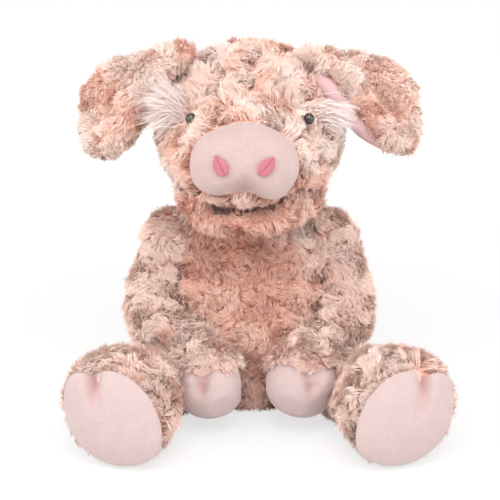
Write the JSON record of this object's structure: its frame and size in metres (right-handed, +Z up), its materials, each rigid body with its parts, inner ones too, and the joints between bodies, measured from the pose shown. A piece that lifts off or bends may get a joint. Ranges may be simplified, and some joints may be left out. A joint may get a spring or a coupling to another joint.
{
  "type": "plush pig toy",
  "caption": "Plush pig toy that sits upright, with velour snout, hooves and soles, folded ears, bead eyes and a head and limbs that can be posed.",
  "frame": {"origin": "middle of the flat seat that the pig sits on", "axes": "+Z up, the pig faces -Y, and +X is the pig's left"},
  "size_m": [0.2752, 0.2251, 0.2795],
  "materials": {
    "plush": "long swirled pile, mottled pink, cream and grey mauve",
    "velour": "short pale pink velour",
    "rosy_velour": "short rose pink velour",
    "long_hair": "long straight whitish pink hair",
    "fibre": "white fibre filling",
    "pellet_cloth": "plain woven cotton",
    "bead_plastic": "polished black",
    "washer_plastic": "moulded off-white",
    "thread": "strong pink thread"
  },
  "bodies": {
    "torso": {"torso_skin": "plush", "torso_stuffing": "fibre", "pellet_bag": "pellet_cloth"},
    "neck": {"neck_thread": "thread"},
    "head": {"head_skin": "plush", "head_stuffing": "fibre", "snout_cover": "velour", "nostril_left": "rosy_velour", "nostril_right": "rosy_velour", "eye_left": "bead_plastic", "eye_right": "bead_plastic", "eye_washer_left": "washer_plastic", "eye_washer_right": "washer_plastic", "tuft_left": "long_hair", "tuft_right": "long_hair"},
    "ear_left": {"ear_plush_left": "plush", "ear_lining_left": "velour"},
    "ear_right": {"ear_plush_right": "plush", "ear_lining_right": "velour"},
    "arm_left": {"arm_skin_left": "plush", "arm_stuffing_left": "fibre", "hoof_left": "velour"},
    "arm_right": {"arm_skin_right": "plush", "arm_stuffing_right": "fibre", "hoof_right": "velour"},
    "leg_left": {"leg_skin_left": "plush", "leg_stuffing_left": "fibre", "sole_left": "velour"},
    "leg_right": {"leg_skin_right": "plush", "leg_stuffing_right": "fibre", "sole_right": "velour"},
    "tail": {"tail": "velour"}
  },
  "joints": [
    {"name": "head_nod", "type": "hinge", "parent": "torso", "child": "neck", "pos_m": [0, 0.006, 0.108], "axis": [1, 0, 0], "range_deg": [-8, 8]},
    {"name": "head_turn", "type": "hinge", "parent": "neck", "child": "head", "pos_m": [0, 0.006, 0.108], "axis": [0, 0, 1], "range_deg": [-25, 25]},
    {"name": "ear_lift_left", "type": "hinge", "parent": "head", "child": "ear_left", "pos_m": [0.038, 0, 0.265], "axis": [0, -1, 0], "range_deg": [0, 35]},
    {"name": "ear_lift_right", "type": "hinge", "parent": "head", "child": "ear_right", "pos_m": [-0.038, 0, 0.265], "axis": [0, 1, 0], "range_deg": [0, 35]},
    {"name": "arm_raise_left", "type": "hinge", "parent": "torso", "child": "arm_left", "pos_m": [0.057, 0.005, 0.127], "axis": [-1, 0, 0], "range_deg": [0, 30]},
    {"name": "arm_raise_right", "type": "hinge", "parent": "torso", "child": "arm_right", "pos_m": [-0.057, 0.005, 0.127], "axis": [-1, 0, 0], "range_deg": [0, 30]},
    {"name": "leg_drop_left", "type": "hinge", "parent": "torso", "child": "leg_left", "pos_m": [0.046, -0.012, 0.027], "axis": [1, 0, 0], "range_deg": [0, 50]},
    {"name": "leg_drop_right", "type": "hinge", "parent": "torso", "child": "leg_right", "pos_m": [-0.046, -0.012, 0.027], "axis": [1, 0, 0], "range_deg": [0, 50]},
    {"name": "tail_wag", "type": "hinge", "parent": "torso", "child": "tail", "pos_m": [0, 0.052, 0.046], "axis": [0, 0, 1], "range_deg": [-25, 25]}
  ]
}
